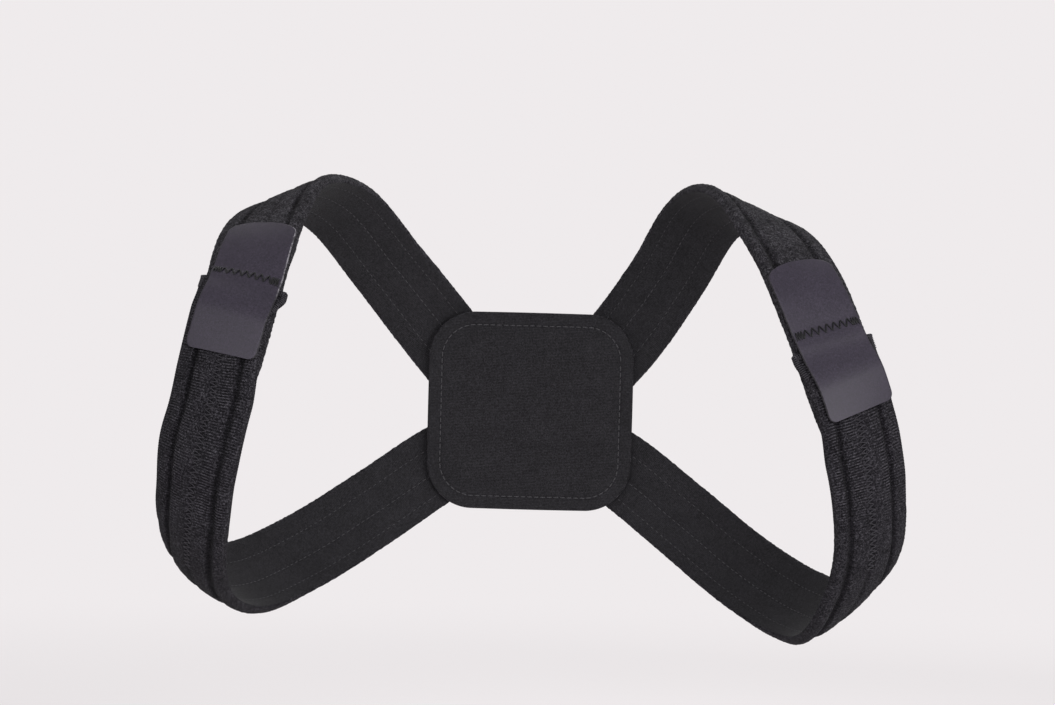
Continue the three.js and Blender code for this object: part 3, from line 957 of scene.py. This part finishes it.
stitchBuild = {
    "arch": 1.5,  # how high a stitch stands over its ends, in radii
    "dip": 0.6,  # how deep its ends lie
    "seamPitch": 4.3,
    "seamHeight": 4.8,
    "seamAbove": 1.2,
    "seamMargin": 1.2,
    "seamRadius": 0.42,
    "tackPitch": 0.75,
    "tackWidth": 4.0,
    "channelPitch": 2.8,
    "channelHeight": 3.8,
    "channelRadius": 0.3,
    "channelStray": 0.35,
    "channelUnder": 6,  # it starts this far under the tab
    "overlockPitch": 1.0,
    "overlockStops": 12,  # round each corner
    "overlockProbe": 0.3,  # to each side, for the way that the rim runs
    "overlockEnds": 0.8,  # share of the radius at a thread's ends
    "overlockSides": (13, 9),  # how far it runs down the edge towards the brace's middle and the other one
    "overlockRadius": 0.32,
    # one thread: how far inside the rim, at what share of the thickness and how far above it
    "overlockThread": np.array([
        [2.8, 1, 0],
        [1.9, 1, 0.2],
        [1.1, 1, 0.25],
        [0.5, 1, 0.25],
        [0.2, 0.75, 0],
        [0.12, 0.4, 0],
        [0.25, 0.1, 0],
    ]),
    "overlockPast": 0.1,  # how far it may stand past the strap's end
    "overlockLeast": 1.2,  # the least thickness that it wraps
    "overlockLean": 0.6,  # of its pitch
    "skinStitch": 3.0,
    "skinGap": 0.7,
    "skinRadius": 0.2,
    "skinMargin": 3,
    "skinStep": 4,
    "boxRun": (5, 29),  # from the end of a strap
    "boxShare": 0.8,  # of the strap's width
    "boxRadius": 0.36,
    "boxSink": 0.2,
    "seed": 5,
}


# Zigzag seam across a tab, with a dense tack at both ends
def tabSeam(side, path, tabRest):
    b = stitchBuild
    half = tabBuild["widths"][1] / 2 - b["seamMargin"]
    tack = np.arange(-half, -half + b["tackWidth"], b["tackPitch"])
    legs = int(round(2 * (half - b["tackWidth"]) / (b["seamPitch"] / 2)))
    middle = np.linspace(-half + b["tackWidth"], half - b["tackWidth"], legs + 1)
    places = zigzag(np.concatenate([tack, middle, -tack[::-1]]), b["seamHeight"])[:, ::-1]
    places = places + np.array([side["seamAt"] - b["seamAbove"], 0])
    return stitchMesh(f"{side['name']}_tab_seam", partial(onTab, path, tabRest), places[:-1], places[1:],
                      b["seamRadius"], blackThread, points=7, turns=6)


# Zigzag seam along the middle of an underarm strap, sewn a little unevenly
def channelSeam(side, strap):
    b = stitchBuild
    start = side["seamAt"] + side["below"] - b["channelUnder"]
    places = zigzag(np.arange(start, side["stitchEnd"], b["channelPitch"] / 2), b["channelHeight"])
    stray = b["channelStray"]
    places = places + np.random.default_rng(b["seed"]).uniform(-stray, stray, places.shape)
    places[:, 1] += strapBuild["seams"][1] * strap["width"](places[:, 0]) / 2
    return stitchMesh(f"{side['name']}_channel_seam", partial(onStrap, strap), places[:-1], places[1:],
                      b["channelRadius"], knitThread)


# Overlock round the underarm strap's sewn end and down its edges: each thread starts on the outer face and
# wraps over the rim
def endOverlock(side, strap):
    b = stitchBuild
    radius = strapBuild["endCorner"]
    half = strap["width"](strap["start"]) / 2
    turn = np.linspace(0, np.pi / 2, b["overlockStops"])
    medial = np.stack([radius * (1 - np.sin(turn)), half - radius * (1 - np.cos(turn))], -1)
    inner, outer = b["overlockSides"]
    rim = np.vstack([[inner, half], medial, medial[::-1] * [1, -1], [outer, -half]])
    run = runOf(rim)
    places = np.arange(0, run[-1], b["overlockPitch"])
    at = lookUp(places, run, rim)
    step = b["overlockProbe"]
    ahead = unit(lookUp(places + step, run, rim) - lookUp(places - step, run, rim))
    outside = np.stack([ahead[:, 1], -ahead[:, 0]], -1)
    outside = outside * np.sign(np.sum(outside * (at - [half, 0]), axis=1, keepdims=True))
    inset, level, above = b["overlockThread"].T
    lean = np.linspace(b["overlockLean"], 0, len(inset))[None, :, None] * b["overlockPitch"]
    plan = at[:, None] - outside[:, None] * inset[None, :, None] + ahead[:, None] * lean
    along = strap["start"] + np.maximum(plan[..., 0], -b["overlockPast"])
    inStrap = np.maximum(along, strap["start"])
    across = plan[..., 1] * strap["width"](inStrap) / 2 / half
    height = np.maximum(strapHeight(strap, inStrap, across), b["overlockLeast"]) * level + above
    paths = placeStrap(strap, along, across, height)
    aside = np.sign(across) * np.abs(outside[:, None, 1])
    outward = unit(placeStrap(strap, along - 0.5, across + 0.5 * aside, height + 1) - paths)
    name = f"{side['name']}_end_overlock"
    return threadMesh(name, paths, outward, b["overlockRadius"], knitThread, endShare=b["overlockEnds"])


# Rows of stitches on the skin side, where the channels and the middle are sewn through
def skinSeams(name, strap):
    b = stitchBuild
    along = spreadAlong(strap["start"] + b["skinMargin"], strap["end"] - b["skinMargin"], b["skinStep"])
    lines = [np.stack([along, stop * strap["width"](along) / 2], -1) for stop in strapBuild["seams"]]
    starts, ends = dashesOn(lines, b["skinStitch"], b["skinGap"])
    return stitchMesh(name, partial(underStrap, strap), starts, ends, b["skinRadius"], greyThread, turns=4)


# Box of stitches with a cross in it, where an end of a strap is sewn to the pad: at that end, and the way
# into the strap from there
def boxStitch(name, strap, end, way):
    b = stitchBuild
    low, high = np.sort(end + way * np.array(b["boxRun"]))
    half = b["boxShare"] * strap["width"](np.array([low, high])).min() / 2
    corners = np.array([[low, -half], [low, half], [high, half], [high, -half]])
    lines = [corners[[first, second]] for first, second in ((0, 1), (1, 2), (2, 3), (3, 0), (0, 2), (1, 3))]
    starts, ends = dashesOn(lines, b["skinStitch"], b["skinGap"])

    def surface(along, across, above):
        return onStrap(strap, along, across, above - b["boxSink"])

    return stitchMesh(name, surface, starts, ends, b["boxRadius"], greyThread)


def dress(piece, slot, *nodes):
    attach(piece, "root")
    if nodes:
        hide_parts(*nodes)
    return piece


for side in sides:
    name = side["name"]
    path = strapPath(side)
    shoulderStrap, underarmStrap, tabRest = strapLayers(path)
    rows = strapRows(shoulderStrap, 0)
    shoulder = strapPiece(f"{name}_shoulder_cloth", shoulderStrap, rows, 0, [brushedPile, lining])
    rows = strapRows(underarmStrap, side["ribsEnd"])
    underarm = strapPiece(f"{name}_underarm_cloth", underarmStrap, rows, side["ribsEnd"], [ribKnit, lining])
    tab = tabPiece(side, path, tabRest)
    dress(shoulder, "ribbed_knit", f"{name}_shoulder_strap")
    dress(underarm, "ribbed_knit", f"{name}_underarm_strap")
    dress(tab, "tab_tape", f"{name}_hook_tab")
    dress(tabSeam(side, path, tabRest), "tab_tape")
    dress(channelSeam(side, underarmStrap), "ribbed_knit")
    dress(endOverlock(side, underarmStrap), "ribbed_knit")
    for part, strap in (("shoulder", shoulderStrap), ("underarm", underarmStrap)):
        dress(skinSeams(f"{name}_{part}_skin_seams", strap), "ribbed_knit")
    dress(boxStitch(f"{name}_shoulder_box_stitch", shoulderStrap, shoulderStrap["start"], 1), "ribbed_knit")
    dress(boxStitch(f"{name}_underarm_box_stitch", underarmStrap, underarmStrap["end"], -1), "ribbed_knit")
    print(name, "side made:", len(shoulder.data.polygons), len(underarm.data.polygons), "faces")

padBuild = {
    "width": 116,
    "height": 112,
    "thickness": 6.5,
    "rim": 2.5,
    "bevel": 16,
    "corner": 26,
    "skin": 79.6,  # back from the origin
    "middle": -119,
    "columns": 240,
    "cornerStops": 24,
    "rings": 60,  # closer together towards the rim
    "ringPower": 1.6,
    "ringReach": 0.985,  # of the way from the rim to the middle
    "beadSize": 1.1,  # how far the rounded rim stands out
    "beadTurns": (-0.65, 0, 0.65),  # of a quarter turn
    "seamInset": 6.5,
    "seamSpread": 0.9,
    "seamDepth": 0.8,
    "skinSeamShare": 0.6,  # of that depth
    "seamStops": 300,
    "skinCrown": 0.35,
    "stitch": 3.0,
    "stitchGap": 0.8,
    "stitchRadius": 0.34,
}


# How far a place on the pad lies inside its rim, a rounded rectangle: its corner radius less the way from
# the corner's middle, or the way to the nearest side
def insideRim(across, up):
    b = padBuild
    beyondX = np.abs(across) - (b["width"] / 2 - b["corner"])
    beyondZ = np.abs(up) - (b["height"] / 2 - b["corner"])
    past = np.hypot(np.maximum(beyondX, 0), np.maximum(beyondZ, 0))
    return b["corner"] - past - np.minimum(np.maximum(beyondX, beyondZ), 0)


# Points evenly round the pad at a distance inside its rim: a quarter circle at each corner, joined by lines
def padOutline(inset, count):
    b = padBuild
    angle = (np.arange(4 * b["cornerStops"]) + 0.25) * np.pi / 2 / b["cornerStops"]
    radius = b["corner"] - inset
    x = np.sign(np.cos(angle)) * (b["width"] / 2 - b["corner"]) + radius * np.cos(angle)
    z = np.sign(np.sin(angle)) * (b["height"] / 2 - b["corner"]) + radius * np.sin(angle)
    ring = np.stack([np.append(x, x[0]), np.append(z, z[0])], -1)
    run = runOf(ring)
    return lookUp(np.linspace(0, run[-1], count, endpoint=False), run, ring)


def placePad(across, up, back):  # a point this far back of the pad's skin side
    b = padBuild
    return np.stack(np.broadcast_arrays(across, b["skin"] + back, b["middle"] + up), -1) * mm


# A point over the pad's outer face, which thickens from its rim to its middle and dips at the seam
def onPad(across, up, above):
    b = padBuild
    inset = insideRim(across, up)
    thick = b["rim"] + (b["thickness"] - b["rim"]) * ramp(inset, 0, b["bevel"])
    dent = b["seamDepth"] * bell(inset, b["seamInset"], b["seamSpread"])
    return placePad(across, up, thick - dent + above)


# A point off its skin side, a little crowned inside the seam
def underPad(across, up, above):
    b = padBuild
    inset = insideRim(across, up)
    dent = b["skinSeamShare"] * b["seamDepth"] * bell(inset, b["seamInset"], b["seamSpread"])
    flat = b["skinCrown"] * (1 - ramp(inset, 0, b["bevel"]))
    return placePad(across, up, dent + flat - above)


# Back pad: rings from the middle of the outer face to the rim, round it, and in again on the skin side
def padPiece():
    b = padBuild
    rim = padOutline(0, b["columns"])
    shares = 1 - np.linspace(1, 0, b["rings"]) ** b["ringPower"] * b["ringReach"]
    plan = rim[None] * shares[:, None, None]
    outer = onPad(plan[..., 0], plan[..., 1], 0)
    inner = underPad(plan[::-1, :, 0], plan[::-1, :, 1], 0)
    turn = np.array(b["beadTurns"])[:, None, None] * np.pi / 2
    middle, half = (outer[-1] + inner[0]) / 2, (outer[-1] - inner[0]) / 2
    away = np.stack([rim[:, 0], 0 * rim[:, 0], rim[:, 1]], -1)
    bead = middle - half * np.sin(turn) + unit(away) * b["beadSize"] * mm * np.cos(turn)
    points = np.concatenate([outer, bead, inner])
    across, up = points[..., 0] / mm, points[..., 2] / mm - b["middle"]
    weave = np.stack([0 * across, up / strapMesh["ribPitch"], 0 * up], -1)
    made = tubeMesh("pad_cloth", points[None], weave, [brushedPile, lining])
    skinFaces = np.arange(len(made.data.polygons) - 2) >= (len(outer) + len(bead) - 1) * b["columns"]
    made.data.polygons.foreach_set("material_index", np.append(skinFaces, [False, True]).astype(np.int32))
    return made


# A row of stitches round the pad on each face, at the seam's distance inside its rim
def padSeams():
    b = padBuild
    line = padOutline(b["seamInset"], b["seamStops"])
    starts, ends = dashes(np.vstack([line, line[:1]]), b["stitch"], b["stitchGap"])
    faces = (("pad_outer_seam", onPad), ("pad_skin_seam", underPad))
    return [stitchMesh(name, face, starts, ends, b["stitchRadius"], greyThread) for name, face in faces]


pad = dress(padPiece(), "pad_cloth", "back_pad")
for seam in padSeams():
    dress(seam, "pad_cloth")
print("pad made")

stageBuild = {
    "floorDrop": 420,  # below the lowest point
    "floorSize": 8,  # metres
    "floorSides": 64,
    "floorFade": (0.7, 3.2),  # from the middle, where it fades into the background
    "floorColour": (0.66, 0.637, 0.645, 1),
    "floorGlow": 0.2,
    "backdrop": (0.862, 0.83, 0.84, 1),
    "ambient": (0.42, 0.41, 0.415, 1),
}
studioLights = [
    # name, metres: place, aim, size, watts
    ("frontLight", (-0.3, -2.3, 1.1), (0, 0, -0.1), 1.6, 26),
    ("rightLight", (1.5, -1.3, 0.55), (0, 0, -0.1), 1.0, 17),
    ("leftLight", (-1.5, -1.2, 0.5), (0, 0, -0.12), 1.0, 8),
    ("topLight", (0.1, 1.6, 1.5), (0, 0, -0.1), 1.5, 16),
    ("lowLight", (0.7, -1.4, -0.08), (0, 0, -0.2), 0.4, 7.5),
    ("backLight", (0.5, 2.2, 0.5), (0, 0, -0.1), 1.2, 13),
]


# A pale disc that fades out towards its rim
def addFloor(build):
    level = cadBox[0].z - build["floorDrop"] * mm
    angle = np.linspace(0, 2 * np.pi, build["floorSides"], endpoint=False)
    corners = np.stack([np.cos(angle), np.sin(angle), 0 * angle], -1) * build["floorSize"] / 2 + [0, 0, level]
    values = {"Base Color": build["floorColour"], "Roughness": 1.0, "Specular IOR Level": 0.0,
              "Emission Color": build["floorColour"], "Emission Strength": build["floorGlow"]}
    material, tree, shader = newMaterial("paleFloor", values)
    away = addNode(tree, "ShaderNodeVectorMath", operation="LENGTH")
    tree.links.new(readPlace(tree), away.inputs[0])
    tree.links.new(remap(tree, away.outputs["Value"], *build["floorFade"], 1.0, 0.0), shader.inputs["Alpha"])
    addMesh("floor", corners, [list(range(len(angle)))], corners, [material])


# A pale backdrop for the camera, with a dimmer even light on the object
def addWorld(build):
    world = bpy.data.worlds.new("paleStudio")
    world.use_nodes = True
    tree = world.node_tree
    backdrop = tree.nodes["Background"]
    backdrop.inputs["Color"].default_value = build["backdrop"]
    ambient = addNode(tree, "ShaderNodeBackground", {"Color": build["ambient"]})
    choose = addNode(tree, "ShaderNodeMixShader")
    tree.links.new(addNode(tree, "ShaderNodeLightPath").outputs["Is Camera Ray"], choose.inputs[0])
    tree.links.new(ambient.outputs[0], choose.inputs[1])
    tree.links.new(backdrop.outputs[0], choose.inputs[2])
    tree.links.new(choose.outputs[0], tree.nodes["World Output"].inputs["Surface"])
    bpy.context.scene.world = world


def addLight(name, place, aim, size, watts):
    data = bpy.data.lights.new(name, "AREA")
    data.size = size
    data.energy = watts
    lamp = bpy.data.objects.new(name, data)
    lamp.location = place
    lamp.rotation_mode = "QUATERNION"
    lamp.rotation_quaternion = (Vector(aim) - Vector(place)).to_track_quat("-Z", "Y")
    lamp.visible_camera = False
    bpy.context.scene.collection.objects.link(lamp)


addFloor(stageBuild)
addWorld(stageBuild)
for light in studioLights:
    addLight(*light)
bpy.context.scene.view_settings.view_transform = "Standard"
print("stage set")
